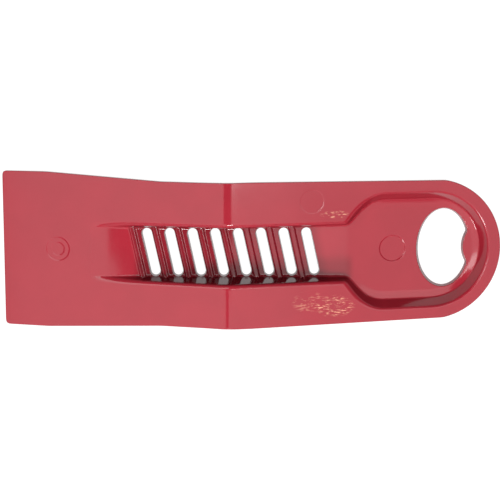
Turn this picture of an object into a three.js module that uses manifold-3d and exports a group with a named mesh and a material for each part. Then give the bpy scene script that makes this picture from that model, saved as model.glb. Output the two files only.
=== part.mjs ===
// A one-piece moulded hive tool: a flat scraping blade and a handle that meet at a
// shallow ridge, with a slotted channel sunk across the ridge, and a round-ended pocket
// in the handle that holds the bottle opener's mouth.
//
// The moulding is laid out in its mould frame: X along the tool, blade towards -X, Z the
// direction in which the mould opens. It is then seated on the surface it lies on, with the
// origin at the bottom centre of its box. Millimetres.

import * as THREE from 'three';
import { mergeVertices } from 'three/addons/utils/BufferGeometryUtils.js';
import Module from 'manifold-3d';

// Plan of the moulding
const TIP_X = -109.7;            // scraping edge
const BLADE_HALF_WIDTH = 38.5;   // 77 mm blade
const BLADE_PARALLEL_END_X = -87.5;
const BLADE_TAPER_END_X = -30.5;
const BLADE_CORNER = 1.4;        // cut off each corner of the blade, along both edges
const WAIST_HALF_WIDTH = 35.2;
const WAIST_END_X = -10;
const HANDLE_HALF_WIDTH = 35.4;
const HANDLE_START_X = 14;
const END_RADIUS = 34.9;         // rounded handle end
const END_CENTRE_X = 102.4;
const END_HALF_WIDTH = 34.35;    // where the side edges run into the rounded end

// Side profile
const ARM_SLOPE = THREE.MathUtils.degToRad(14);   // each arm falls away from the ridge
const RIDGE_X = 2.5;
const RIDGE_RADIUS = 20;
const RIDGE_HALF = RIDGE_RADIUS * Math.sin(ARM_SLOPE);
const WALL = 3.1;                // plate and floor thickness, measured along Z
const TIP_THICKNESS = 0.9;
const BEVEL_LENGTH = 18;         // ground on the blade's underside

// Channel and pocket: half widths where the walls meet the upper face and the floor
const CHANNEL_START_X = -65.5;
const CHANNEL_END_X = 58.5;
const CHANNEL_TOP = 13.7;
const CHANNEL_FLOOR = 12.1;
const CHANNEL_TOP_AT_POCKET = 14;
const CHANNEL_FLOOR_AT_POCKET = 13;
const POCKET_START_X = 79;
const POCKET_TOP = 28.7;
const POCKET_FLOOR = 24.9;
const TOP_BEND = { startX: CHANNEL_END_X, leaveX: 60.5, arriveX: 66 };
const FLOOR_BEND = { startX: 59.5, leaveX: 63, arriveX: 67 };
const RUN_IN = 3;                // how far the recess is drawn out before it starts to cut

// Floor: it leaves the blade on a gentler slope, runs level to the ridge, falls gently
// towards the pocket, and turns parallel to the handle there
const RAMP_SLOPE = 0.125;
const RAMP_LENGTH = 16;
const FLOOR_FALL = 0.088;
const RIDGE_BLEND = 3;
const POCKET_BLEND_START_X = 52;
const POCKET_BLEND_END_X = 62;

// Walls
const SIDE_WALL = 2.6;           // thickness in plan
const CHANNEL_SHOULDER = 2.05;   // length of the rounding along each face
const POCKET_SHOULDER = 0.9;
const CHANNEL_FOOT = 0.5;        // eased corner between the channel's floor and wall
const CHANNEL_FOOT_RISE = 0.25;
const BAND_WIDTH = 3.3;          // gentle band round the pocket's floor
const BAND_RISE = 0.95;
const UNDER_FOOT_RADIUS = 2.6;   // lower edge of the channel and pocket from outside
const UNDER_SHOULDER = 1.2;

// Slots and ribs, all leaning the same way
const SLOT_COUNT = 8;
const SLOT_FIRST_X = -35.7;
const SLOT_PITCH = 11.1;
const SLOT_CENTRE_Y = -0.1;
const SLOT_WIDTH = 5.2;
const SLOT_HALF_REACH = 11.9;    // across the channel, from its centre
const SLOT_DRAFT = 0.4;
const LEAN = THREE.MathUtils.degToRad(12.5);
const RIB_OFFSET = -6.65;        // from its slot's centre
const RIB_HALF_BASE = 1.75;
const RIB_HALF_TOP = 0.95;
const RIB_HEIGHT = 1.0;
const RIB_HALF_REACH = 13.2;

// Bottle opener mouth: an oval with a rounded tooth on the side of the handle's end
const MOUTH_X = 108.7;
const MOUTH_HALF_X = 13.7;
const MOUTH_HALF_Y = 19.8;
const MOUTH_DRAFT = 0.6;
const MOUTH_LEAD = 0.8;          // extra draft on the blade's side
const TOOTH_TIP_X = 118.9;
const TOOTH_RADIUS = 14;

// Fineness
const ARC_STEPS = 16;
const CURVE_STEPS = 10;
const RIDGE_STEPS = 16;
const SPAN_STEPS = 4;
const SEAT_ROUNDS = 6;

const OVERCUT = 6;               // how far cutting bodies run past what they cut
const RED = 0xb3202c;

const wasm = await Module();
wasm.setup();

// Heights in the mould frame

function topSurface(x) {
  const off = Math.abs(x - RIDGE_X);
  if (off < RIDGE_HALF) {
    return Math.sqrt(RIDGE_RADIUS ** 2 - off * off) - RIDGE_RADIUS / Math.cos(ARM_SLOPE);
  }
  return -off * Math.tan(ARM_SLOPE);
}

// The floor's slope at stations along the tool; it changes evenly between them

const FLOOR_SLOPES = [
  { x: CHANNEL_START_X, slope: RAMP_SLOPE },
  { x: CHANNEL_START_X + RAMP_LENGTH, slope: 0 },
  { x: RIDGE_X - RIDGE_BLEND, slope: 0 },
  { x: RIDGE_X + RIDGE_BLEND, slope: -FLOOR_FALL },
  { x: POCKET_BLEND_START_X, slope: -FLOOR_FALL },
  { x: POCKET_BLEND_END_X, slope: -Math.tan(ARM_SLOPE) },
  { x: END_CENTRE_X + 2 * END_RADIUS, slope: -Math.tan(ARM_SLOPE) },
];

function floorSurface(x) {
  let height = topSurface(CHANNEL_START_X);
  for (let i = 1; i < FLOOR_SLOPES.length; i += 1) {
    const from = FLOOR_SLOPES[i - 1];
    const to = FLOOR_SLOPES[i];
    const run = Math.min(x, to.x) - from.x;
    if (run <= 0) break;
    const change = (to.slope - from.slope) / (to.x - from.x);
    height += (from.slope + 0.5 * change * run) * run;
  }
  return height;
}

// Geometry to solid and back

function toSolid(geometry) {
  geometry.deleteAttribute('normal');
  geometry.deleteAttribute('uv');
  const merged = mergeVertices(geometry, 1e-4);
  const mesh = new wasm.Mesh({
    numProp: 3,
    vertProperties: new Float32Array(merged.attributes.position.array),
    triVerts: new Uint32Array(merged.index.array),
  });
  return new wasm.Manifold(mesh);
}

function toGeometry(solid) {
  const mesh = solid.getMesh();
  const geometry = new THREE.BufferGeometry();
  geometry.setAttribute('position', new THREE.BufferAttribute(mesh.vertProperties, 3));
  geometry.setIndex(new THREE.BufferAttribute(mesh.triVerts, 1));
  geometry.computeVertexNormals();
  return geometry;
}

function prism(shape, zLow, zHigh, curveSegments = 12) {
  const depth = zHigh - zLow;
  const geometry = new THREE.ExtrudeGeometry(shape, { depth, bevelEnabled: false, curveSegments });
  geometry.translate(0, 0, zLow);
  return toSolid(geometry);
}

// The bent plate, seen from the side and from above

function sideProfile() {
  const endX = END_CENTRE_X + END_RADIUS + OVERCUT;
  const ridge = stationsBetween(RIDGE_X - RIDGE_HALF, RIDGE_X + RIDGE_HALF, RIDGE_STEPS);
  ridge.push(RIDGE_X + RIDGE_HALF);
  const shape = new THREE.Shape();
  shape.moveTo(TIP_X, topSurface(TIP_X));
  ridge.forEach((x) => shape.lineTo(x, topSurface(x)));
  shape.lineTo(endX, topSurface(endX));
  shape.lineTo(endX, topSurface(endX) - WALL);
  ridge.reverse().forEach((x) => shape.lineTo(x, topSurface(x) - WALL));
  const bevelX = TIP_X + BEVEL_LENGTH;
  shape.lineTo(bevelX, topSurface(bevelX) - WALL);
  shape.lineTo(TIP_X, topSurface(TIP_X) - TIP_THICKNESS);
  return shape;
}

function outline() {
  const endAngle = Math.asin(END_HALF_WIDTH / END_RADIUS);
  const cornerX = TIP_X + BLADE_CORNER;
  const cornerY = BLADE_HALF_WIDTH - BLADE_CORNER;
  const shape = new THREE.Shape();
  shape.moveTo(TIP_X, -cornerY);
  shape.lineTo(cornerX, -BLADE_HALF_WIDTH);
  shape.lineTo(BLADE_PARALLEL_END_X, -BLADE_HALF_WIDTH);
  shape.lineTo(BLADE_TAPER_END_X, -WAIST_HALF_WIDTH);
  shape.lineTo(WAIST_END_X, -WAIST_HALF_WIDTH);
  shape.lineTo(HANDLE_START_X, -HANDLE_HALF_WIDTH);
  shape.absarc(END_CENTRE_X, 0, END_RADIUS, -endAngle, endAngle, false);
  shape.lineTo(HANDLE_START_X, HANDLE_HALF_WIDTH);
  shape.lineTo(WAIST_END_X, WAIST_HALF_WIDTH);
  shape.lineTo(BLADE_TAPER_END_X, WAIST_HALF_WIDTH);
  shape.lineTo(BLADE_PARALLEL_END_X, BLADE_HALF_WIDTH);
  shape.lineTo(cornerX, BLADE_HALF_WIDTH);
  shape.lineTo(TIP_X, cornerY);
  return shape;
}

function bentPlate() {
  const width = 2 * (BLADE_HALF_WIDTH + OVERCUT);
  const strip = new THREE.ExtrudeGeometry(sideProfile(), { depth: width, bevelEnabled: false });
  strip.translate(0, 0, -width / 2);
  strip.rotateX(Math.PI / 2);
  return toSolid(strip).intersect(prism(outline(), -60, OVERCUT, 2 * ARC_STEPS));
}

// Plan of one edge of the channel and pocket, on the +Y side from the blade to the end

function stationsBetween(from, to, steps) {
  return Array.from({ length: steps }, (_, i) => from + ((to - from) * i) / steps);
}

function channelStations(endX) {
  const rampEnd = CHANNEL_START_X + RAMP_LENGTH;
  return [
    CHANNEL_START_X - RUN_IN,
    ...stationsBetween(CHANNEL_START_X, rampEnd, SPAN_STEPS),
    ...stationsBetween(rampEnd, RIDGE_X - RIDGE_HALF, SPAN_STEPS),
    ...stationsBetween(RIDGE_X - RIDGE_HALF, RIDGE_X + RIDGE_HALF, RIDGE_STEPS),
    ...stationsBetween(RIDGE_X + RIDGE_HALF, POCKET_BLEND_START_X, SPAN_STEPS),
    ...stationsBetween(POCKET_BLEND_START_X, endX, SPAN_STEPS),
  ];
}

function recessEdge(half, halfAtPocket, pocketHalf, bend) {
  const points = channelStations(bend.startX).map((x) => {
    const along = Math.max(0, (x - RIDGE_X) / (bend.startX - RIDGE_X));
    return new THREE.Vector2(x, THREE.MathUtils.lerp(half, halfAtPocket, along));
  });
  const flare = new THREE.CubicBezierCurve(
    new THREE.Vector2(bend.startX, halfAtPocket),
    new THREE.Vector2(bend.leaveX, halfAtPocket),
    new THREE.Vector2(bend.arriveX, pocketHalf),
    new THREE.Vector2(POCKET_START_X, pocketHalf),
  );
  points.push(...flare.getPoints(CURVE_STEPS));
  for (let i = 0; i < ARC_STEPS; i += 1) {
    const angle = (Math.PI / 2) * (1 - i / (ARC_STEPS - 0.5));
    points.push(new THREE.Vector2(
      END_CENTRE_X + pocketHalf * Math.cos(angle),
      pocketHalf * Math.sin(angle),
    ));
  }
  return points;
}

// Section of the wall at each station: from its foot outwards, and from the floor upwards

function wallSections() {
  const tops = recessEdge(CHANNEL_TOP, CHANNEL_TOP_AT_POCKET, POCKET_TOP, TOP_BEND);
  const feet = recessEdge(CHANNEL_FLOOR, CHANNEL_FLOOR_AT_POCKET, POCKET_FLOOR, FLOOR_BEND);
  return feet.map((foot, i) => {
    const across = tops[i].clone().sub(foot);
    const run = across.length();
    const depth = Math.max(0, topSurface(foot.x) - floorSurface(foot.x));
    const share = THREE.MathUtils.smoothstep(foot.x, CHANNEL_END_X, POCKET_START_X);
    return { foot, out: across.normalize(), run, depth, share };
  });
}

function sectionPoint(section, across, rise) {
  const { foot, out, depth } = section;
  const x = foot.x + out.x * across;
  const y = foot.y + out.y * across;
  return [x, y, floorSurface(x) + THREE.MathUtils.clamp(rise, 0, depth)];
}

// A rounded corner between a level face and a wall: how far in and up its middle lies

function cornerMiddle(slope, length) {
  const radius = length / Math.tan(slope / 2);
  const share = 1 - radius / Math.hypot(length, radius);
  return { across: length * share, up: radius * share };
}

function wallSlope(rise, run) {
  const leastSlope = 0.01;
  return Math.max(leastSlope, Math.atan2(rise, run));
}

function recessWall(section) {
  const { run, depth, share } = section;
  const { lerp } = THREE.MathUtils;
  const footRise = lerp(CHANNEL_FOOT_RISE, BAND_RISE, share);
  const slope = wallSlope(depth - footRise, run);
  const wanted = lerp(CHANNEL_SHOULDER, POCKET_SHOULDER, share);
  const shoulder = Math.min(wanted, (0.9 * run) / Math.cos(slope));
  const middle = cornerMiddle(slope, shoulder);
  const rim = sectionPoint(section, run + shoulder, depth);
  return [
    [rim[0], rim[1], rim[2] + OVERCUT],
    rim,
    sectionPoint(section, run + middle.across, depth - middle.up),
    sectionPoint(section, run - shoulder * Math.cos(slope), depth - shoulder * Math.sin(slope)),
    sectionPoint(section, 0, footRise),
    sectionPoint(section, -lerp(CHANNEL_FOOT, BAND_WIDTH, share), 0),
  ];
}

function underWall(section) {
  const { run, depth } = section;
  const slope = wallSlope(depth, run);
  const foot = UNDER_FOOT_RADIUS * Math.tan(slope / 2);
  const fit = Math.min(1, (0.9 * run) / ((foot + UNDER_SHOULDER) * Math.cos(slope)));
  const footLength = foot * fit;
  const shoulder = UNDER_SHOULDER * fit;
  const outer = SIDE_WALL + run;
  const points = [
    sectionPoint(section, outer + shoulder, depth),
    sectionPoint(section, outer - shoulder * Math.cos(slope), depth - shoulder * Math.sin(slope)),
    sectionPoint(section, SIDE_WALL + footLength * Math.cos(slope), footLength * Math.sin(slope)),
    sectionPoint(section, SIDE_WALL - footLength, 0),
  ].map(([x, y, z]) => [x, y, z - WALL]);
  const [x, y, z] = points[0];
  return [[x, y, z + WALL / 2], ...points];
}

// Closed body from the wall's points at each station. Each level's ring runs down the -Y
// side and back along the +Y side, highest first.

function loft(walls) {
  const rings = walls[0].map((_, level) => {
    const far = walls.map((wall) => wall[level]);
    const near = far.map(([x, y, z]) => [x, -y, z]);
    return near.concat(far.reverse());
  });
  const count = rings[0].length;
  const index = [];
  for (let level = 0; level < rings.length - 1; level += 1) {
    const high = level * count;
    const low = high + count;
    for (let i = 0; i < count; i += 1) {
      const next = (i + 1) % count;
      index.push(high + i, low + i, low + next, high + i, low + next, high + next);
    }
  }
  const bottom = (rings.length - 1) * count;
  for (let i = 0; i < count / 2 - 1; i += 1) {
    const mirror = count - 1 - i;
    index.push(i, i + 1, mirror - 1, i, mirror - 1, mirror);
    index.push(bottom + i, bottom + mirror - 1, bottom + i + 1);
    index.push(bottom + i, bottom + mirror, bottom + mirror - 1);
  }
  const positions = new Float32Array(rings.flat(2));
  const geometry = new THREE.BufferGeometry();
  geometry.setAttribute('position', new THREE.BufferAttribute(positions, 3));
  geometry.setIndex(index);
  return toSolid(geometry);
}

// Slots, ribs and the opener's mouth

function leaningSlot(radius) {
  const halfStraight = SLOT_HALF_REACH - SLOT_WIDTH / 2;
  const shift = halfStraight * Math.tan(LEAN);
  const shape = new THREE.Shape();
  shape.absarc(-shift, halfStraight, radius, LEAN, Math.PI + LEAN, false);
  shape.absarc(shift, -halfStraight, radius, Math.PI + LEAN, 2 * Math.PI + LEAN, false);
  return shape;
}

function leaningRib(x) {
  const section = new THREE.Shape([
    new THREE.Vector2(-RIB_HALF_BASE, -WALL / 2),
    new THREE.Vector2(RIB_HALF_BASE, -WALL / 2),
    new THREE.Vector2(RIB_HALF_BASE, 0),
    new THREE.Vector2(RIB_HALF_TOP, RIB_HEIGHT),
    new THREE.Vector2(-RIB_HALF_TOP, RIB_HEIGHT),
    new THREE.Vector2(-RIB_HALF_BASE, 0),
  ]);
  const length = 2 * RIB_HALF_REACH / Math.cos(LEAN);
  const geometry = new THREE.ExtrudeGeometry(section, { depth: length, bevelEnabled: false });
  geometry.translate(0, 0, -length / 2);
  geometry.rotateX(Math.PI / 2);
  geometry.rotateZ(LEAN);
  geometry.translate(x, 0, floorSurface(x));
  return toSolid(geometry);
}

// A hole through the floor at (x, y), drafted from its outline above to the one below

function floorHole(above, below, x, y, segments) {
  const upper = prism(above, 0, OVERCUT, segments);
  const lower = prism(below, -WALL - OVERCUT, -WALL, segments);
  const hole = wasm.Manifold.hull([upper, lower]).translate([x, y, 0]);
  return hole.warp((point) => { point[2] += floorSurface(point[0]); });
}

function ellipse(centreX, halfX, halfY) {
  const shape = new THREE.Shape();
  shape.absellipse(centreX, 0, halfX, halfY, 0, 2 * Math.PI, false, 0);
  return shape;
}

function openerMouth() {
  const lowerHalfX = MOUTH_HALF_X - MOUTH_DRAFT - MOUTH_LEAD / 2;
  const oval = floorHole(
    ellipse(0, MOUTH_HALF_X, MOUTH_HALF_Y),
    ellipse(MOUTH_LEAD / 2, lowerHalfX, MOUTH_HALF_Y - MOUTH_DRAFT),
    MOUTH_X, 0, 3 * ARC_STEPS,
  );
  const lowerRadius = TOOTH_RADIUS + MOUTH_DRAFT;
  const tooth = floorHole(
    ellipse(0, TOOTH_RADIUS, TOOTH_RADIUS),
    ellipse(0, lowerRadius, lowerRadius),
    TOOTH_TIP_X + TOOTH_RADIUS, 0, 3 * ARC_STEPS,
  );
  return oval.subtract(tooth);
}

function moulding() {
  const sections = wallSections();
  let body = bentPlate()
    .add(loft(sections.map(underWall)))
    .subtract(loft(sections.map(recessWall)));
  const above = leaningSlot(SLOT_WIDTH / 2);
  const below = leaningSlot(SLOT_WIDTH / 2 - SLOT_DRAFT);
  for (let i = 0; i < SLOT_COUNT; i += 1) {
    const slotX = SLOT_FIRST_X + i * SLOT_PITCH;
    body = body.add(leaningRib(slotX + RIB_OFFSET));
    body = body.subtract(floorHole(above, below, slotX, SLOT_CENTRE_Y, 8));
  }
  return body.subtract(openerMouth());
}

// The tool lies on its scraping edge and on the end of the pocket's underside: the turn that
// brings the lowest point of each arm to one level

function seatAngle(solid) {
  const { vertProperties } = solid.getMesh();
  let angle = 0;
  for (let round = 0; round < SEAT_ROUNDS; round += 1) {
    const lowest = { blade: { level: Infinity }, handle: { level: Infinity } };
    for (let i = 0; i < vertProperties.length; i += 3) {
      const x = vertProperties[i];
      const z = vertProperties[i + 2];
      const arm = x < RIDGE_X ? 'blade' : 'handle';
      const level = z * Math.cos(angle) - x * Math.sin(angle);
      if (level < lowest[arm].level) lowest[arm] = { level, x, z };
    }
    const { blade, handle } = lowest;
    angle = Math.atan2(handle.z - blade.z, handle.x - blade.x);
  }
  return angle;
}

const material = new THREE.MeshStandardMaterial({ color: RED, roughness: 0.22, metalness: 0 });
const solid = moulding();
const body = new THREE.Mesh(toGeometry(solid), material);
body.name = 'hive_tool_moulding';
body.rotation.y = seatAngle(solid);

const tool = new THREE.Group();
tool.add(body);
tool.updateMatrixWorld(true);
const box = new THREE.Box3().setFromObject(tool, true);
const centre = box.getCenter(new THREE.Vector3());
tool.position.set(-centre.x, -centre.y, -box.min.z);

export default tool;
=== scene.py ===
import math

import bpy
import numpy as np
from mathutils import Matrix, Vector
from mathutils.geometry import delaunay_2d_cdt
from mathutils.kdtree import KDTree


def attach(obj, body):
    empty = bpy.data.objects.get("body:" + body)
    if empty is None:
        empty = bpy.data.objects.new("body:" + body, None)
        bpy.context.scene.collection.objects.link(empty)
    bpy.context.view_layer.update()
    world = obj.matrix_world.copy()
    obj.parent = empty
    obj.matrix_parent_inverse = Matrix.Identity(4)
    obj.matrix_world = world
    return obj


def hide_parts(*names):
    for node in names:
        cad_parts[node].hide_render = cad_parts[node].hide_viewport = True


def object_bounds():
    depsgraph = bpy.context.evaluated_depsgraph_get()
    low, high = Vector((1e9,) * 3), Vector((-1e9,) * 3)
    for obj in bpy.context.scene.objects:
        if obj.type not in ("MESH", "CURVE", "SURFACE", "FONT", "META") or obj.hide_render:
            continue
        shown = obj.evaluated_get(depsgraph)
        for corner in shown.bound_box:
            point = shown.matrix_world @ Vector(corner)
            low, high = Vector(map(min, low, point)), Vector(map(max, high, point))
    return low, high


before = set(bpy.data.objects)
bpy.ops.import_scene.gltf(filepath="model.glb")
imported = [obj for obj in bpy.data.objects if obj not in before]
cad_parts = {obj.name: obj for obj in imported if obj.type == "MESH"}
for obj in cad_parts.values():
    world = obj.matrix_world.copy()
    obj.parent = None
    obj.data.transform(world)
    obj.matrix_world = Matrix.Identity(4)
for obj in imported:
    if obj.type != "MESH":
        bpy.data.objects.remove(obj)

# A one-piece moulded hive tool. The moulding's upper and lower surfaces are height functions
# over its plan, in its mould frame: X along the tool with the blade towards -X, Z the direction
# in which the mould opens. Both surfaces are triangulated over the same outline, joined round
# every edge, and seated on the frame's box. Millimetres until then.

CAD_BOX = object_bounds()
NODE = "hive_tool_moulding"
MM = 0.001

# Plan of the moulding
TIP_X = -109.7
BLADE_HALF_WIDTH = 38.5
BLADE_PARALLEL_END_X = -87.5
BLADE_TAPER_END_X = -30.5
WAIST_HALF_WIDTH = 35.2
WAIST_END_X = -10.0
HANDLE_HALF_WIDTH = 35.4
HANDLE_START_X = 14.0
END_RADIUS = 34.9
END_CENTRE_X = 102.4
END_HALF_WIDTH = 34.35
BLADE_CORNER = 1.4

# Side profile
ARM_SLOPE = math.radians(14)
RIDGE_X = 2.5
RIDGE_RADIUS = 20.0
WALL = 3.1
TIP_THICKNESS = 0.9
BEVEL_LENGTH = 18.0

# Channel and pocket: the lines where the walls meet the upper face and the floor
CHANNEL_START_X = -65.5
CHANNEL_TOP = 13.7
CHANNEL_FLOOR = 12.1
CHANNEL_TOP_AT_POCKET = 14.0
CHANNEL_FLOOR_AT_POCKET = 13.0
CHANNEL_END_X = 58.5
POCKET_START_X = 79.0
POCKET_TOP = 28.7
POCKET_FLOOR = 24.9
SIDE_WALL = 2.6
RAMP_SLOPE = 0.125                # the floor's run-in at the blade
RAMP_LENGTH = 16.0
FLOOR_FALL = 0.088                # slope of the channel's floor towards the pocket
FLOOR_RIDGE_BLEND = 3.0
POCKET_BLEND_X = (52.0, 62.0)     # where the floor turns parallel to the handle
TOP_BEND = (CHANNEL_END_X, 60.5, 66.0)
FLOOR_BEND = (59.5, 63.0, 67.0)

# The walls' rounding: radius at the foot, length of the rounded shoulder
CHANNEL_FOOT, CHANNEL_SHOULDER = 1.4, 2.05
POCKET_SHOULDER = 0.9
UNDER_FOOT, UNDER_SHOULDER = 2.6, 1.2

# The pocket's floor turns up in a gentle band before its steep wall
BAND_WIDTH = 3.3
BAND_SLOPE = 0.29
BAND_EASE = 1.3
BAND_CREASE = 0.5

# Slots and ribs
SLOT_COUNT = 8
SLOT_FIRST_X = -35.7
SLOT_PITCH = 11.1
SLOT_WIDTH = 5.2
SLOT_HALF_REACH = 11.9
SLOT_CENTRE_Y = -0.1
SLOT_DRAFT = 0.4
LEAN = math.radians(12.5)
RIB_OFFSET = -6.65
RIB_HALF_BASE = 1.75
RIB_FLANK = 0.8
RIB_HEIGHT = 1.0
RIB_FOOT = 0.75
RIB_SHOULDER = 0.4
RIB_HALF_REACH = 14.5
RIB_WALL_REACH = 3.0              # how far past the floor's edge a rib is looked for
RIB_JOIN = 0.25                   # blend between a rib and the wall

# Opener's mouth
MOUTH_X = 108.7
MOUTH_HALF_X = 13.7
MOUTH_HALF_Y = 19.8
TOOTH_TIP_X = 118.9
TOOTH_RADIUS = 14.0
NOTCH_ROUND = 1.2
MOUTH_DRAFT = 0.6
MOUTH_LEAD = 0.45                 # extra draft on the blade side of the mouth

# Plain round steps in the surface: centre, radius, depth
PIN_MARKS = (
    (82.8, 0.4, 6.2, 0.34),
    (42.3, 25.6, 5.5, 0.06),
    (-82.0, 0.6, 5.6, 0.14),
    (-82.0, 0.6, 3.0, 0.10),
)
MARK_EDGE = 0.34                  # width of each step's slope
MARK_ROUND = 0.3

# Colour, and where it differs: limits in millimetres as the tool lies. The shades are painted
# shade, standing in for how light falls in the channel and on the walls
RED = (0.350, 0.0185, 0.0325)
SLOTTED_X = (-58.5, 32.0)
SLOTTED_Y = (-13.2, 12.4)
SLOTTED_PAINTED_SHADE = (0.64, 0.66)      # painted shade at the blade's end and at the pocket's end
SLOTTED_EASE = (1.5, 4.0, 1.2)    # blade's end, pocket's end, sides
CHANNEL_X = (-56.0, 46.0)
CHANNEL_EASE = 4.0
LOW_SIDE_START = (-14.5, -12.5)   # painted shadow on the channel's -Y side starts here
LOW_SIDE_END = (-7.0, 0.0)        # and is plain again here
# how much darker the painted shadow makes the channel's -Y side
LOW_SIDE_PAINTED_SHADOW = 0.3
STEEP_PAINTED_SHADE = 0.6                 # painted shade on faces that stand upright
STEEP_NORMAL = (0.2, 0.75)        # how far up the normal points: full shade, none
STEEP_SPECULAR = (0.15, 0.5)      # reflection on upright faces, and on all others
SPECULAR_NORMAL = (0.15, 0.75)
MOTTLE = (0.97, 1.03)
# colour of the painted highlight glints on the rubbed patches
PAINTED_GLINT_PINK = (0.86, 0.42, 0.26)
SCUFF_GLINT_PATCHES = (                        # rubbed patches with painted glints: centre, half size, strength
    ((26.0, -23.5), (9.0, 6.0), 0.30),
    ((39.0, -26.0), (11.0, 6.0), 0.75),
    ((38.5, 19.0), (8.0, 2.2), 0.60),
)

# Gloss and relief of the moulded surface
ROUGHNESS = (0.085, 0.125)
SCUFF_ROUGHNESS = 0.3
RELIEF = 0.00006
GRAIN_SHARE = 0.01
PLASTIC_IOR = 1.5

# Scales of the surface's noise
MOTTLE_SCALE = 60.0
STREAK_SCALE, STREAK_STRETCH = 1500.0, (0.2, 1, 1)
CLUMP_SCALE, CLUMP_STRETCH = 330.0, (0.8, 1, 1)
GRAIN_SCALE = 900.0
WAVE_SCALE, WAVE_STRETCH = 45.0, (0.6, 1, 1)

# Eased edges
OUTLINE_EDGE = 0.38
SLOT_EDGE = 0.32
MOUTH_EDGE = 0.4
EDGE_STEPS = 5

# Spacing of the mesh
FLOOR_STEP = 0.05
PLAN_STEP = 0.7
WALL_STEP = 0.9
RIDGE_ZONE = 5.4                  # half length of the finer rows over the ridge
RIDGE_MARGIN = 5.8
RIDGE_STATION, RIDGE_ROW = 0.45, 0.6
BEVEL_ROWS = (-0.3, 0, 0.3)
BAND_ROWS = (-1.4, -0.9, -0.4, 0.1, 0.6, 1.1)             # from the band's inner edge
CREASE_ROWS = (-0.9, -0.55, -0.3, -0.1, 0.1, 0.3, 0.6)    # from the band's outer edge
RIB_ROWS = (-0.4, -0.28, -0.16, -0.04, 0.08, 0.2, 0.34, 0.48, 0.6, 0.72, 0.84, 0.98, 1.12,
            1.26, 1.5, 1.75)      # inward from the rib's foot
RIB_MESH_REACH, RIB_MESH_COUNT = 13.6, 38
MARK_ROWS = (-1.0, -0.35, -0.12, 0.02, 0.14, 0.26, 0.42, 0.7, 1.3)    # from the mark's radius
MARK_COUNT = 72
NORMAL_STEP = 0.02

# Lights, each a level softbox: limits in degrees from straight up (west, east, south, north),
# then how bright, then its height in metres
LIGHTS = (
    ("left_box", -46, -19, -44, -4, 1.25, 1.0),
    ("left_edge", -46, -19, -4, 5, 1.55, 1.0),
    ("right_box", 2, 27, -40, -4, 1.2, 1.0),
    ("right_far_box", 27, 45, -40, -4, 0.95, 1.0),
    ("right_edge", 2, 24, -4, 5, 5.0, 1.0),
    ("right_far_edge", 24, 45, -4, 30, 1.5, 1.0),
    ("left_inner", -19, -15.5, -44, -9.6, 1.25, 1.0),
    ("left_inmost", -15.5, -12.5, -44, -10.2, 1.1, 1.0),
    ("right_inner", -5.5, 2, -44, -10.5, 1.25, 1.0),
    ("lamp", -11, 5, -37, -24, 27, 0.9),
    ("over", -46, -5, 6, 34, 2.3, 1.0),
)
WORLD_STRENGTH = 0.06

# Ground, in metres, and its look
GROUND_SIZE = 3.0
GROUND_LEVEL = -0.0002
GROUND_COLOUR = (0.1, 0.1, 0.1, 1)
GROUND_ROUGHNESS = 0.8
GROUND_GLOW = 0.98

# Camera, in metres
CAMERA_PLACE = (-0.03400, 0.10722, 0.69239)
CAMERA_RIGHT = (0.99890, 0.00178, 0.04693)
CAMERA_BACK = (-0.04664, 0.15563, 0.98671)
CAMERA_LENS = 100.8
CAMERA_SENSOR = 36


# ---------------------------------------------------------------- heights

def top_surface(x):
    """Upper face of the two arms, with the rounded ridge where they meet."""
    off = np.abs(x - RIDGE_X)
    ridge = np.sqrt(np.maximum(RIDGE_RADIUS ** 2 - off * off, 0))
    ridge = ridge - RIDGE_RADIUS / math.cos(ARM_SLOPE)
    return np.where(off < RIDGE_RADIUS * math.sin(ARM_SLOPE), ridge, -off * math.tan(ARM_SLOPE))


def floor_line():
    """The channel and pocket floor along the tool, from its slope."""
    arm = math.tan(ARM_SLOPE)
    ramp_end = CHANNEL_START_X + RAMP_LENGTH
    blend = FLOOR_RIDGE_BLEND
    x = np.arange(CHANNEL_START_X, END_CENTRE_X + END_RADIUS + 10, FLOOR_STEP)
    slope = np.interp(
        x,
        [CHANNEL_START_X, ramp_end, RIDGE_X - blend, RIDGE_X + blend, *POCKET_BLEND_X],
        [RAMP_SLOPE, 0, 0, -FLOOR_FALL, -FLOOR_FALL, -arm],
    )
    steps = 0.5 * (slope[1:] + slope[:-1]) * FLOOR_STEP
    start = float(top_surface(np.array([CHANNEL_START_X]))[0])
    return x, start + np.concatenate([[0.0], np.cumsum(steps)])


FLOOR_X, FLOOR_Z = floor_line()


def recess_depth(x):
    """Depth of the floor below the upper face: none before the channel starts."""
    floor = np.interp(x, FLOOR_X, FLOOR_Z)
    return np.where(x <= CHANNEL_START_X, 0.0, np.maximum(top_surface(x) - floor, 0.0))


def plate_thickness(x):
    return np.interp(x, [TIP_X, TIP_X + BEVEL_LENGTH], [TIP_THICKNESS, WALL])


def fit_fillets(run, depth, foot, shoulder):
    """Wall slope and the fillet radii, made smaller where the wall is too short for them.

    The foot is asked for as a radius and the shoulder as the length it takes up."""
    slope = np.arctan2(depth, run)
    half = np.maximum(np.tan(slope / 2), 1e-4)
    shoulder = shoulder / half
    used = (foot + shoulder) * half * np.cos(slope)
    scale = np.minimum(1.0, 0.96 * run / np.maximum(used, 1e-6))
    return slope, half, foot * scale, shoulder * scale


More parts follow.
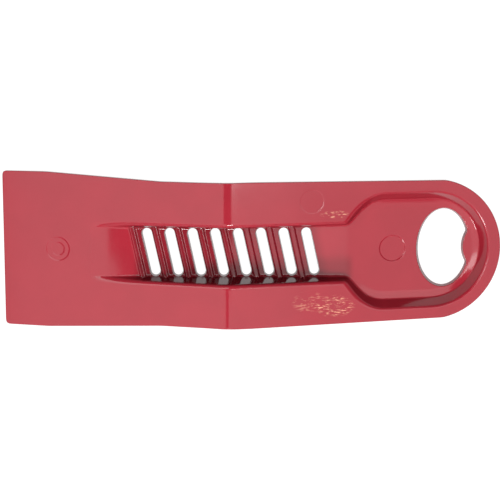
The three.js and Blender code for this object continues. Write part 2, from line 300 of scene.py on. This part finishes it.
def wall_rise(s, run, depth, foot, shoulder):
    """Height above the floor at a distance s outward from the wall's foot line."""
    run = np.maximum(run, 0.1)
    slope, half, foot, shoulder = fit_fillets(run, depth, foot, shoulder)
    foot_length = foot * half
    shoulder_length = shoulder * half
    cosine = np.cos(slope)
    rise = s * np.tan(slope)
    near = foot - np.sqrt(np.maximum(foot ** 2 - (s + foot_length) ** 2, 0))
    left = run + shoulder_length - s
    far = depth - shoulder + np.sqrt(np.maximum(shoulder ** 2 - left ** 2, 0))
    rise = np.where(s < foot_length * cosine, near, rise)
    rise = np.where(s > run - shoulder_length * cosine, far, rise)
    rise = np.where(s <= -foot_length, 0.0, rise)
    return np.where(left <= 0, depth, rise)


# ---------------------------------------------------------------- plan curves

def bezier(p0, p1, p2, p3, count):
    t = np.linspace(0, 1, count)[:, None]
    p0, p1, p2, p3 = (np.array(p, float) for p in (p0, p1, p2, p3))
    return (1 - t) ** 3 * p0 + 3 * (1 - t) ** 2 * t * p1 + 3 * (1 - t) * t ** 2 * p2 + t ** 3 * p3


def arc(cx, cy, radius, start, end, count):
    angle = np.radians(np.linspace(start, end, count))
    return np.stack([cx + radius * np.cos(angle), cy + radius * np.sin(angle)], 1)


def resample(points, step, closed=False):
    """The same curve with even spacing close to step."""
    if closed:
        points = np.vstack([points, points[:1]])
    length = np.concatenate([[0], np.cumsum(np.hypot(*np.diff(points, axis=0).T))])
    count = max(int(round(length[-1] / step)), 4)
    at = np.linspace(0, length[-1], count + 1)
    if closed:
        at = at[:-1]
    return np.stack([np.interp(at, length, points[:, 0]), np.interp(at, length, points[:, 1])], 1)


def soften(points, rounds):
    """Eases the corners of a closed, evenly spaced curve."""
    for _ in range(rounds):
        points = 0.5 * points + 0.25 * (np.roll(points, 1, 0) + np.roll(points, -1, 0))
    return points


def left_normals(points):
    """Unit normals on the left of a closed curve's direction, which is where the material is."""
    along = np.roll(points, -1, 0) - np.roll(points, 1, 0)
    along /= np.maximum(np.hypot(along[:, 0], along[:, 1]), 1e-9)[:, None]
    return np.stack([-along[:, 1], along[:, 0]], 1)


def recess_half_plan(half, half_at_pocket, pocket_half, bend):
    """+Y half of the channel and pocket's edge, from the blade to the handle's end."""
    start_x, leave_x, arrive_x = bend
    flare = bezier((start_x, half_at_pocket), (leave_x, half_at_pocket),
                   (arrive_x, pocket_half), (POCKET_START_X, pocket_half), 60)
    end = arc(END_CENTRE_X, 0, pocket_half, 90, 0, 90)
    return np.vstack([[(CHANNEL_START_X - 20, half), (RIDGE_X, half)], flare, end])


def mirrored(half_plan):
    """Closed outline from the +Y half: back along -Y first, so it runs anticlockwise."""
    other = half_plan * (1, -1)
    return np.vstack([other, half_plan[::-1][1:]])


TOP_HALF = recess_half_plan(CHANNEL_TOP, CHANNEL_TOP_AT_POCKET, POCKET_TOP, TOP_BEND)
FLOOR_HALF = recess_half_plan(CHANNEL_FLOOR, CHANNEL_FLOOR_AT_POCKET, POCKET_FLOOR, FLOOR_BEND)
TOP_LINE = mirrored(resample(TOP_HALF, PLAN_STEP))
FLOOR_LINE = mirrored(resample(FLOOR_HALF, PLAN_STEP))


def inside(points, polygon):
    """Whether each point is inside a closed polygon."""
    result = np.zeros(len(points), bool)
    low, high = polygon.min(0), polygon.max(0)
    near = np.flatnonzero(np.all((points > low) & (points < high), axis=1))
    x, y = points[near].T
    odd = np.zeros(len(near), bool)
    for (ax, ay), (bx, by) in zip(polygon, np.roll(polygon, -1, 0)):
        if ay != by:
            odd ^= ((ay > y) != (by > y)) & (x < (bx - ax) * (y - ay) / (by - ay) + ax)
    result[near] = odd
    return result


def signed_distance(points, polygon):
    """Distance to a closed, evenly spaced anticlockwise curve, positive inside it."""
    tree = KDTree(len(polygon))
    for i, (x, y) in enumerate(polygon):
        tree.insert((x, y, 0), i)
    tree.balance()
    nearest = np.array([tree.find((x, y, 0))[1] for x, y in points], int)
    best = np.full(len(points), np.inf)
    sign = np.ones(len(points))
    for back in (1, 0):
        a = polygon[(nearest - back) % len(polygon)]
        edge = polygon[(nearest - back + 1) % len(polygon)] - a
        off = points - a
        t = np.clip((off * edge).sum(1) / np.maximum((edge * edge).sum(1), 1e-12), 0, 1)
        gap = np.hypot(*(off - t[:, None] * edge).T)
        side = np.where(edge[:, 0] * off[:, 1] - edge[:, 1] * off[:, 0] >= 0, 1, -1)
        closer = gap < best
        best, sign = np.where(closer, gap, best), np.where(closer, side, sign)
    return best * sign


def distance(points, polygon):
    return np.abs(signed_distance(points, polygon))


# ---------------------------------------------------------------- the two faces

def pocket_share(x):
    """0 in the channel, 1 in the pocket, easing between."""
    t = np.clip((x - CHANNEL_END_X) / (POCKET_START_X - CHANNEL_END_X), 0, 1)
    return t * t * (3 - 2 * t)


def smooth_max(a, b, k):
    gap = np.maximum(k - np.abs(a - b), 0)
    return np.maximum(a, b) + gap * gap / (4 * k)


def rib_height(p):
    height = np.zeros(len(p))
    for i in range(SLOT_COUNT):
        x = SLOT_FIRST_X + i * SLOT_PITCH + RIB_OFFSET
        off = np.abs((p[:, 0] - x) * math.cos(LEAN) + p[:, 1] * math.sin(LEAN))
        rise = wall_rise(RIB_HALF_BASE - off, RIB_FLANK, RIB_HEIGHT, RIB_FOOT, RIB_SHOULDER)
        height = np.maximum(height, rise)
    return np.where(np.abs(p[:, 1]) < RIB_HALF_REACH, height, 0.0)


def mark_dip(p):
    dip = np.zeros(len(p))
    for x, y, radius, depth in PIN_MARKS:
        r = np.hypot(p[:, 0] - x, p[:, 1] - y)
        dip += depth - wall_rise(r - radius, MARK_EDGE, depth, MARK_ROUND, MARK_ROUND)
    return dip


def face_distances(p):
    """Distance outward from the floor's edge, and the width of the wall there."""
    to_floor = signed_distance(p, FLOOR_LINE)
    to_top = signed_distance(p, TOP_LINE)
    return -to_floor, to_top - to_floor


def pocket_rise(s, run, depth):
    """The pocket's side: floor, gentle band, then the steep wall from its foot line."""
    width = np.minimum(BAND_WIDTH, 1.5 * depth)
    lift = BAND_SLOPE * width
    t = s + width
    eased = BAND_SLOPE * (t + BAND_EASE) ** 2 / (4 * BAND_EASE)
    band = np.where(t < -BAND_EASE, 0, np.where(t < BAND_EASE, eased, BAND_SLOPE * t))
    band = np.where(s < 0, band, lift)
    rest = np.maximum(depth - lift, 0)
    steep = np.where(s < 0, s * rest / np.maximum(run, 0.1),
                     wall_rise(s, run, rest, 0.01, POCKET_SHOULDER))
    return smooth_max(band, lift + steep, BAND_CREASE)


def upper_wall(x, s, run, depth):
    channel = wall_rise(s, run, depth, CHANNEL_FOOT, CHANNEL_SHOULDER)
    share = pocket_share(x)
    return channel + share * (pocket_rise(s, run, depth) - channel)


def upper_height(p):
    x = p[:, 0]
    s, run = face_distances(p)
    depth = recess_depth(x)
    floor = top_surface(x) - depth
    wall = np.where(depth > 0, floor + upper_wall(x, s, run, depth), floor)
    ribs = rib_height(p)
    ribbed = (s < RIB_WALL_REACH) & (depth > 0) & (ribs > 0)
    return np.where(ribbed, smooth_max(wall, floor + ribs, RIB_JOIN), wall) - mark_dip(p)


def lower_height(p):
    x = p[:, 0]
    s, run = face_distances(p)
    depth = recess_depth(x)
    rise = wall_rise(s - SIDE_WALL, run, depth, UNDER_FOOT, UNDER_SHOULDER)
    return top_surface(x) - plate_thickness(x) - depth + rise


def face_normals(height, p, side):
    """Surface normals by small differences of the height, up for side +1 and down for -1."""
    h = NORMAL_STEP
    across_x = (height(p + (h, 0)) - height(p - (h, 0))) / (2 * h)
    across_y = (height(p + (0, h)) - height(p - (0, h))) / (2 * h)
    normal = np.stack([-across_x, -across_y, np.ones(len(p))], 1) * side
    return normal / np.linalg.norm(normal, axis=1)[:, None]


# ---------------------------------------------------------------- edges of the plan

def tool_outline():
    corner = math.degrees(math.asin(END_HALF_WIDTH / END_RADIUS))
    r = BLADE_CORNER
    half = np.vstack([
        arc(TIP_X + r, r - BLADE_HALF_WIDTH, r, 180, 270, 8),
        [(BLADE_PARALLEL_END_X, -BLADE_HALF_WIDTH), (BLADE_TAPER_END_X, -WAIST_HALF_WIDTH),
         (WAIST_END_X, -WAIST_HALF_WIDTH), (HANDLE_START_X, -HANDLE_HALF_WIDTH)],
        arc(END_CENTRE_X, 0, END_RADIUS, -corner, 0, 60),
    ])
    full = np.vstack([half, (half * (1, -1))[::-1][1:]])
    return soften(resample(full, 0.9, closed=True), 2)


def slot_outline(x):
    """Clockwise, so that the material is on its left."""
    radius = SLOT_WIDTH / 2
    straight = SLOT_HALF_REACH - radius
    lean = math.degrees(LEAN)
    far = arc(-straight * math.tan(LEAN), straight, radius, lean + 180, lean, 16)
    near = arc(straight * math.tan(LEAN), -straight, radius, lean, lean - 180, 16)
    return resample(np.vstack([far, near]), 0.6, closed=True) + (x, SLOT_CENTRE_Y)


def mouth_outline():
    """The oval, with the tooth's round nose let into it."""
    nose_x = TOOTH_TIP_X + TOOTH_RADIUS
    angle = np.linspace(0, 2 * np.pi, 720, endpoint=False)
    oval = np.stack([MOUTH_X + MOUTH_HALF_X * np.cos(angle), MOUTH_HALF_Y * np.sin(angle)], 1)
    clear = np.hypot(oval[:, 0] - nose_x, oval[:, 1]) > TOOTH_RADIUS
    first = np.argmax(clear)
    kept = oval[clear]
    kept = kept[np.argsort((angle[clear] - angle[first]) % (2 * np.pi))]
    reach = math.degrees(math.atan2(kept[0, 1], kept[0, 0] - nose_x))
    nose = arc(nose_x, 0, TOOTH_RADIUS, -reach + 360, reach, 40)
    loop = resample(np.vstack([kept, nose]), 0.3, closed=True)
    loop = soften(loop, int((NOTCH_ROUND / 0.3) ** 2))
    return resample(loop, 0.5, closed=True)[::-1]


class Edge:
    """One closed edge of the plan: its curve, how round its rims are and its draft below."""

    def __init__(self, curve, rim, draft=0.0, lead=0.0):
        self.curve = curve
        self.normal = left_normals(curve)
        self.rim = rim
        draft = draft + lead * np.maximum(-self.normal[:, :1], 0)
        self.lower_curve = curve - self.normal * draft

    def rim_radius(self, curve):
        return np.minimum(self.rim, 0.42 * plate_thickness(curve[:, 0]))


def all_edges():
    edges = [Edge(tool_outline(), OUTLINE_EDGE)]
    for i in range(SLOT_COUNT):
        edges.append(Edge(slot_outline(SLOT_FIRST_X + i * SLOT_PITCH), SLOT_EDGE, SLOT_DRAFT))
    edges.append(Edge(mouth_outline(), MOUTH_EDGE, MOUTH_DRAFT, MOUTH_LEAD))
    return edges


# ---------------------------------------------------------------- points of each face

def wall_stations(step):
    """Even stations along the floor's edge, closer together over the ridge."""
    line = resample(FLOOR_HALF, step)
    line = line[line[:, 0] > CHANNEL_START_X - 1]
    off = line[:, 0] - RIDGE_X
    ridge = RIDGE_X + np.arange(-RIDGE_ZONE, RIDGE_ZONE + 0.1, RIDGE_STATION)
    straight = off < 40
    level = np.interp(ridge, line[straight, 0], line[straight, 1])
    return np.vstack([line[off < -RIDGE_MARGIN], np.stack([ridge, level], 1),
                      line[off > RIDGE_MARGIN]])


def wall_points(shift, foot_radius, shoulder_length, extra_rows=()):
    """Rows of points across the walls, closest together round their fillets."""
    half = wall_stations(WALL_STEP)
    along = np.gradient(half, axis=0)
    along /= np.hypot(along[:, 0], along[:, 1])[:, None]
    normal = np.stack([-along[:, 1], along[:, 0]], 1)
    run = np.maximum(distance(half, TOP_LINE), 0.1)
    depth = recess_depth(half[:, 0])
    slope, bend, foot, shoulder = fit_fillets(run, depth, foot_radius, shoulder_length)
    rows = []
    for t in np.linspace(0, 1, 5):
        rows.append(-foot * bend + foot * np.sin(slope * t))
    for t in (0.33, 0.66):
        a = foot * bend * np.cos(slope)
        b = run - shoulder * bend * np.cos(slope)
        rows.append(a + t * (b - a))
    for t in np.linspace(1, 0, 7):
        rows.append(run + shoulder * bend - shoulder * np.sin(slope * t))
    points = [half + normal * (row + shift)[:, None] for row in rows]
    pocket = half[:, 0] > CHANNEL_END_X + 4
    points += [(half + normal * row)[pocket] for row in extra_rows]
    points = np.vstack(points)
    return np.vstack([points, points * (1, -1)])


def rib_points():
    """Rows of points along each rib, closest together on its flanks."""
    rows = RIB_HALF_BASE - np.array(RIB_ROWS)
    rows = np.unique(np.concatenate([rows, -rows]))
    length = np.linspace(-RIB_MESH_REACH, RIB_MESH_REACH, RIB_MESH_COUNT) / math.cos(LEAN)
    points = []
    for i in range(SLOT_COUNT):
        x = SLOT_FIRST_X + i * SLOT_PITCH + RIB_OFFSET
        for row in rows:
            along_x = x + row * math.cos(LEAN) - length * math.sin(LEAN)
            along_y = row * math.sin(LEAN) + length * math.cos(LEAN)
            points.append(np.stack([along_x, along_y], 1))
    return np.vstack(points)


def mark_points():
    points = []
    for x, y, radius, _ in PIN_MARKS:
        for row in MARK_ROWS:
            points.append(arc(x, y, radius + row, 0, 355, MARK_COUNT))
    return np.vstack(points)


def line_points(xs, step):
    """Rows of points straight across the tool."""
    ys = np.arange(-BLADE_HALF_WIDTH, BLADE_HALF_WIDTH + step, step)
    return np.array([(x, y) for x in xs for y in ys])


def grid_points(step):
    xs = np.arange(TIP_X, END_CENTRE_X + END_RADIUS, step)
    ys = np.arange(-BLADE_HALF_WIDTH, BLADE_HALF_WIDTH, step * 0.866)
    points = [(x + (step / 2 if j % 2 else 0), y) for j, y in enumerate(ys) for x in xs]
    return np.array(points)


def thin_out(groups):
    """Joins groups of points, leaving out any that crowd a point of an earlier group."""
    kept = groups[0][0]
    for points, gap in groups[1:]:
        tree = KDTree(len(kept))
        for i, (x, y) in enumerate(kept):
            tree.insert((x, y, 0), i)
        tree.balance()
        free = [tree.find((x, y, 0))[2] > gap for x, y in points]
        kept = np.vstack([kept, points[np.array(free)]])
    return kept


def rim_rows(edge, curve):
    """Rows of points from the side of the edge over its rounded rim, with their drop and tilt."""
    radius = edge.rim_radius(curve)
    rows = []
    for i in range(EDGE_STEPS + 1):
        turn = 0.5 * math.pi * i / EDGE_STEPS
        inward = radius * (1 - math.cos(turn))
        rows.append((curve + edge.normal * inward[:, None], radius * (1 - math.sin(turn)), turn))
    return rows


def build_face(edges, lower):
    """One face: plan points, heights, normals, triangles, and each edge's outer row of points."""
    height = lower_height if lower else upper_height
    side = -1 if lower else 1
    rim_points, rim_drop, rim_turn, rim_out, loops, constraints = [], [], [], [], [], []
    count = 0
    for edge in edges:
        curve = edge.lower_curve if lower else edge.curve
        n = len(curve)
        for level, (points, drop, turn) in enumerate(rim_rows(edge, curve)):
            if level == 0:
                loops.append(np.arange(count, count + n))
                constraints += [(count + i, count + (i + 1) % n) for i in range(n)]
            rim_points.append(points)
            rim_drop.append(drop)
            rim_turn.append(np.full(n, turn))
            rim_out.append(-edge.normal)
            count += n
    rim_points = np.vstack(rim_points)
    rim_drop = np.concatenate(rim_drop)
    rim_turn = np.concatenate(rim_turn)
    rim_out = np.vstack(rim_out)

    # Each group of points goes with the closest that it may come to a point already there
    ridge = line_points(RIDGE_X + np.arange(-RIDGE_ZONE, RIDGE_ZONE + 0.1, RIDGE_ROW), 1.0)
    if lower:
        walls = wall_points(SIDE_WALL, UNDER_FOOT, UNDER_SHOULDER)
        bevel = line_points([TIP_X + BEVEL_LENGTH + row for row in BEVEL_ROWS], 1.2)
        extra = [(walls, 0.25), (bevel, 0.2), (ridge, 0.4), (grid_points(2.0), 0.9)]
    else:
        band = [-BAND_WIDTH + row for row in BAND_ROWS] + list(CREASE_ROWS)
        walls = wall_points(0.0, CHANNEL_FOOT, CHANNEL_SHOULDER, band)
        extra = [(walls, 0.09), (rib_points(), 0.12), (mark_points(), 0.1), (ridge, 0.4),
                 (grid_points(1.6), 0.7)]
    outline = edges[0].lower_curve if lower else edges[0].curve
    holes = [e.lower_curve if lower else e.curve for e in edges[1:]]
    clear = []
    for points, gap in extra:
        ok = inside(points, outline)
        ok &= distance(points, outline) > OUTLINE_EDGE + 0.1
        for hole, edge in zip(holes, edges[1:]):
            low, high = hole.min(0) - 1.5, hole.max(0) + 1.5
            near = np.all((points > low) & (points < high), axis=1) & ok
            gone = inside(points[near], hole) | (distance(points[near], hole) < edge.rim + 0.08)
            ok[np.flatnonzero(near)[gone]] = False
        clear.append((points[ok], gap))
    points = thin_out([(rim_points, 0)] + clear)

    result = delaunay_2d_cdt([Vector(p) for p in points], constraints, [], 0, 1e-5, True)
    verts = np.array([(v.x, v.y) for v in result[0]])
    place = np.full(len(points), -1)
    source = np.full(len(verts), -1)
    for new, olds in enumerate(result[3]):
        for old in olds:
            place[old] = new
            source[new] = old
    tris = np.array([f for f in result[2] if len(f) == 3])
    middle = verts[tris].mean(1)
    ok = inside(middle, outline)
    for hole in holes:
        ok &= ~inside(middle, hole)
    tris = tris[ok]

    z = height(verts)
    normal = face_normals(height, verts, side)
    rim = (source >= 0) & (source < len(rim_points))
    index = source[rim]
    z[rim] -= side * rim_drop[index]
    turn = rim_turn[index][:, None]
    tilted = np.sin(turn) * normal[rim]
    tilted[:, :2] += np.cos(turn) * rim_out[index]
    normal[rim] = tilted / np.linalg.norm(tilted, axis=1)[:, None]
    return verts, z, normal, tris, [place[loop] for loop in loops]


# ---------------------------------------------------------------- the piece

def seat(points):
    """Turn and shift from the mould frame to the surface the tool lies on, on the frame's box.

    The lowest point of each arm is brought to one level."""
    x, z = points[:, 0], points[:, 2]
    angle = 0.0
    for _ in range(6):
        level = z * math.cos(angle) - x * math.sin(angle)
        blade = np.argmin(np.where(x < RIDGE_X, level, np.inf))
        handle = np.argmin(np.where(x < RIDGE_X, np.inf, level))
        angle = math.atan2(z[handle] - z[blade], x[handle] - x[blade])
    c, s = math.cos(angle), math.sin(angle)
    turn = np.array([[c, 0, s], [0, 1, 0], [-s, 0, c]])
    turned = points @ turn.T
    low, high = turned.min(0), turned.max(0)
    box_low, box_high = np.array(CAD_BOX[0]) / MM, np.array(CAD_BOX[1]) / MM
    shift = (box_low + box_high) / 2 - (low + high) / 2
    shift[2] = box_low[2] - low[2]
    return turn, shift


def make_moulding():
    edges = all_edges()
    up_xy, up_z, up_n, up_tris, up_loops = build_face(edges, lower=False)
    low_xy, low_z, low_n, low_tris, low_loops = build_face(edges, lower=True)
    n_up = len(up_xy)
    points = np.vstack([np.column_stack([up_xy, up_z]), np.column_stack([low_xy, low_z])])
    normals = np.vstack([up_n, low_n])
    faces = [tuple(t) for t in up_tris] + [tuple(t[::-1] + n_up) for t in low_tris]
    for upper, lower in zip(up_loops, low_loops):
        lower = lower + n_up
        for i in range(len(upper)):
            j = (i + 1) % len(upper)
            faces.append((lower[i], lower[j], upper[j], upper[i]))
    turn, shift = seat(points)
    points = (points @ turn.T + shift) * MM
    normals = normals @ turn.T
    used = np.unique(np.concatenate([np.array(f) for f in faces]))
    new = np.full(len(points), -1)
    new[used] = np.arange(len(used))
    faces = [tuple(int(new[i]) for i in f) for f in faces]
    mesh = bpy.data.meshes.new("moulding")
    mesh.from_pydata(points[used].tolist(), [], faces)
    mesh.validate()
    mesh.polygons.foreach_set("use_smooth", [True] * len(mesh.polygons))
    mesh.normals_split_custom_set_from_vertices([Vector(n) for n in normals[used]])
    mesh.update()
    piece = bpy.data.objects.new("moulding", mesh)
    bpy.context.collection.objects.link(piece)
    return piece


# ---------------------------------------------------------------- materials

class Nodes:
    """Shorthand for building a material's nodes."""

    def __init__(self, tree):
        self.tree = tree

    def add(self, kind, **inputs):
        node = self.tree.nodes.new(kind)
        for name, value in inputs.items():
            self.feed(node.inputs[name.replace("_", " ")], value)
        return node

    def feed(self, socket, value):
        if isinstance(value, bpy.types.NodeSocket):
            self.tree.links.new(value, socket)
        else:
            socket.default_value = value

    def math(self, operation, *values):
        node = self.tree.nodes.new("ShaderNodeMath")
        node.operation = operation
        for socket, value in zip(node.inputs, values):
            self.feed(socket, value)
        return node.outputs[0]

    def ramp(self, value, low, high, to_low=0.0, to_high=1.0):
        """Smooth step of a value between two limits."""
        node = self.tree.nodes.new("ShaderNodeMapRange")
        node.interpolation_type = "SMOOTHSTEP"
        for name, number in (("Value", value), ("From Min", low), ("From Max", high),
                             ("To Min", to_low), ("To Max", to_high)):
            self.feed(node.inputs[name], number)
        return node.outputs["Result"]

    def band(self, value, low, high, ease):
        """1 between two limits and 0 outside, easing over a distance."""
        rise = self.ramp(value, low - ease, low)
        fall = self.ramp(value, high, high + ease, 1.0, 0.0)
        return self.math("MULTIPLY", rise, fall)

    def patch(self, x, y, centre, half):
        """1 in the middle of an ellipse in plan, falling to 0 at its edge."""
        dx = self.math("DIVIDE", self.math("SUBTRACT", x, centre[0]), half[0])
        dy = self.math("DIVIDE", self.math("SUBTRACT", y, centre[1]), half[1])
        square = self.math("ADD", self.math("MULTIPLY", dx, dx), self.math("MULTIPLY", dy, dy))
        return self.ramp(square, 0.2, 1.0, 1.0, 0.0)

    def noise(self, position, scale, stretch=(1, 1, 1), detail=2.0):
        mapping = self.add("ShaderNodeMapping", Vector=position, Scale=stretch)
        node = self.add("ShaderNodeTexNoise", Vector=mapping.outputs[0], Scale=scale, Detail=detail)
        return node.outputs[0]


def plastic():
    material = bpy.data.materials.new("red_gloss_plastic")
    material.use_nodes = True
    shader = material.node_tree.nodes["Principled BSDF"]
    nodes = Nodes(material.node_tree)
    place = nodes.add("ShaderNodeTexCoord").outputs["Object"]
    split = nodes.add("ShaderNodeSeparateXYZ", Vector=place)
    x, y = (nodes.math("MULTIPLY", split.outputs[i], 1 / MM) for i in range(2))

    # Painted shade: the floor between the slots is darker, in a band that leans as they do
    along = nodes.math("ADD", x, nodes.math("MULTIPLY", y, math.tan(LEAN)))
    west, east = SLOTTED_X
    west_ease, east_ease, side_ease = SLOTTED_EASE
    slotted_shade_mask = nodes.math("MULTIPLY", nodes.ramp(along, west, west + west_ease),
                         nodes.ramp(along, east - east_ease, east + east_ease, 1.0, 0.0))
    slotted_shade_mask = nodes.math("MULTIPLY", slotted_shade_mask, nodes.band(y, *SLOTTED_Y, side_ease))
    shade = nodes.ramp(x, *SLOTTED_X, *SLOTTED_PAINTED_SHADE)
    shade = nodes.math("SUBTRACT", shade, 1.0)
    shade = nodes.math("ADD", 1.0, nodes.math("MULTIPLY", slotted_shade_mask, shade))

    # Painted shadow: the channel's floor is darker along its -Y wall
    low_side_shadow = nodes.math("MULTIPLY", nodes.ramp(y, *LOW_SIDE_START),
                          nodes.ramp(y, *LOW_SIDE_END, 1.0, 0.0))
    low_side_shadow = nodes.math("MULTIPLY", low_side_shadow, nodes.band(x, *CHANNEL_X, CHANNEL_EASE))
    low_side_shadow = nodes.math("SUBTRACT", 1.0, nodes.math("MULTIPLY", low_side_shadow, LOW_SIDE_PAINTED_SHADOW))
    shade = nodes.math("MULTIPLY", shade, low_side_shadow)

    # Painted shade: upright faces are darker; they also reflect less
    normal = nodes.add("ShaderNodeNewGeometry").outputs["Normal"]
    upward = nodes.add("ShaderNodeSeparateXYZ", Vector=normal).outputs[2]
    specular = nodes.ramp(upward, *SPECULAR_NORMAL, *STEEP_SPECULAR)
    nodes.feed(shader.inputs["Specular IOR Level"], specular)
    shade = nodes.math("MULTIPLY", shade, nodes.ramp(upward, *STEEP_NORMAL, STEEP_PAINTED_SHADE, 1.0))

    mottle = nodes.ramp(nodes.noise(place, MOTTLE_SCALE, (1, 1, 1), 3.0), 0.3, 0.7, *MOTTLE)
    shade = nodes.math("MULTIPLY", shade, mottle)
    colour = nodes.add("ShaderNodeVectorMath", Vector=RED)
    colour.operation = "SCALE"
    nodes.feed(colour.inputs["Scale"], shade)

    # Rubbed patches along the tool, rougher, with pale painted highlights as glints: fine streaks
    # in loose clumps
    streaks = nodes.ramp(nodes.noise(place, STREAK_SCALE, STREAK_STRETCH, 6.0), 0.49, 0.6)
    clumps = nodes.ramp(nodes.noise(place, CLUMP_SCALE, CLUMP_STRETCH, 3.0), 0.42, 0.58)
    streaks = nodes.math("MULTIPLY", streaks, clumps)
    scuff_glint_mask = 0.0
    for centre, half, strength in SCUFF_GLINT_PATCHES:
        patch = nodes.math("MULTIPLY", nodes.patch(x, y, centre, half), strength)
        scuff_glint_mask = nodes.math("ADD", scuff_glint_mask, patch)
    scuff_glint_mask = nodes.math("MULTIPLY", scuff_glint_mask, streaks)
    mix = nodes.add("ShaderNodeMix")
    mix.data_type = "RGBA"
    nodes.feed(mix.inputs[0], scuff_glint_mask)
    nodes.feed(mix.inputs[6], colour.outputs[0])
    mix.inputs[7].default_value = (*PAINTED_GLINT_PINK, 1)
    nodes.feed(shader.inputs["Base Color"], mix.outputs[2])

    # Gloss, with a slightly uneven moulded surface
    grain = nodes.noise(place, GRAIN_SCALE, (1, 1, 1), 2.0)
    rough = nodes.ramp(grain, 0.3, 0.7, *ROUGHNESS)
    rough = nodes.math("ADD", rough, nodes.math("MULTIPLY", scuff_glint_mask, SCUFF_ROUGHNESS))
    nodes.feed(shader.inputs["Roughness"], rough)
    wave = nodes.noise(place, WAVE_SCALE, WAVE_STRETCH, 1.0)
    relief = nodes.math("ADD", wave, nodes.math("MULTIPLY", grain, GRAIN_SHARE))
    bump = nodes.add("ShaderNodeBump", Strength=1.0, Distance=RELIEF, Height=relief)
    nodes.feed(shader.inputs["Normal"], bump.outputs[0])
    shader.inputs["IOR"].default_value = PLASTIC_IOR
    return material


def paper_white():
    material = bpy.data.materials.new("white_ground")
    material.use_nodes = True
    shader = material.node_tree.nodes["Principled BSDF"]
    shader.inputs["Base Color"].default_value = GROUND_COLOUR
    shader.inputs["Roughness"].default_value = GROUND_ROUGHNESS
    shader.inputs["Emission Color"].default_value = (1, 1, 1, 1)
    shader.inputs["Emission Strength"].default_value = GROUND_GLOW
    return material


# ---------------------------------------------------------------- stage, light, camera

def make_floor():
    mesh = bpy.data.meshes.new("ground")
    corners = [(x * GROUND_SIZE, y * GROUND_SIZE, GROUND_LEVEL)
               for x, y in ((-1, -1), (1, -1), (1, 1), (-1, 1))]
    mesh.from_pydata(corners, [], [(0, 1, 2, 3)])
    mesh.materials.append(paper_white())
    ground = bpy.data.objects.new("ground", mesh)
    bpy.context.collection.objects.link(ground)


def panel(name, centre, size, radiance, aim=(0, 0, 0.015)):
    """A softbox: the power that makes its face as bright as asked."""
    light = bpy.data.lights.new(name, "AREA")
    light.shape = "RECTANGLE"
    light.size, light.size_y = size
    light.energy = 4 * size[0] * size[1] * radiance
    lamp = bpy.data.objects.new(name, light)
    lamp.location = centre
    direction = Vector(aim) - Vector(centre)
    lamp.rotation_euler = direction.to_track_quat("-Z", "Y").to_euler()
    bpy.context.collection.objects.link(lamp)
    return lamp


def ceiling_panel(name, west, east, south, north, radiance, height):
    """A level softbox between four directions, in degrees from straight up."""
    x0, x1, y0, y1 = (height * math.tan(math.radians(a)) for a in (west, east, south, north))
    centre = ((x0 + x1) / 2, (y0 + y1) / 2, height)
    return panel(name, centre, (x1 - x0, y1 - y0), radiance, (centre[0], centre[1], 0))


def make_lights():
    for light in LIGHTS:
        ceiling_panel(*light)
    panel("far_wall", (0, -1.6, 0.55), (3.0, 1.0), 0.5)
    world = bpy.data.worlds.new("room")
    bpy.context.scene.world = world
    world.use_nodes = True
    background = world.node_tree.nodes["Background"]
    background.inputs["Color"].default_value = (1, 1, 1, 1)
    background.inputs["Strength"].default_value = WORLD_STRENGTH


def make_camera():
    data = bpy.data.cameras.new("camera")
    data.lens = CAMERA_LENS
    data.sensor_width = CAMERA_SENSOR
    camera = bpy.data.objects.new("camera", data)
    back = Vector(CAMERA_BACK)
    up = back.cross(Vector(CAMERA_RIGHT)).normalized()
    right = up.cross(back).normalized()
    rotation = Matrix((right, up, back)).transposed().to_4x4()
    camera.matrix_world = Matrix.Translation(Vector(CAMERA_PLACE)) @ rotation
    bpy.context.collection.objects.link(camera)
    bpy.context.scene.camera = camera


make_camera()
moulding = make_moulding()
moulding.data.materials.append(plastic())
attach(moulding, "root")
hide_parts(NODE)
make_floor()
make_lights()
bpy.context.scene.view_settings.view_transform = "Standard"
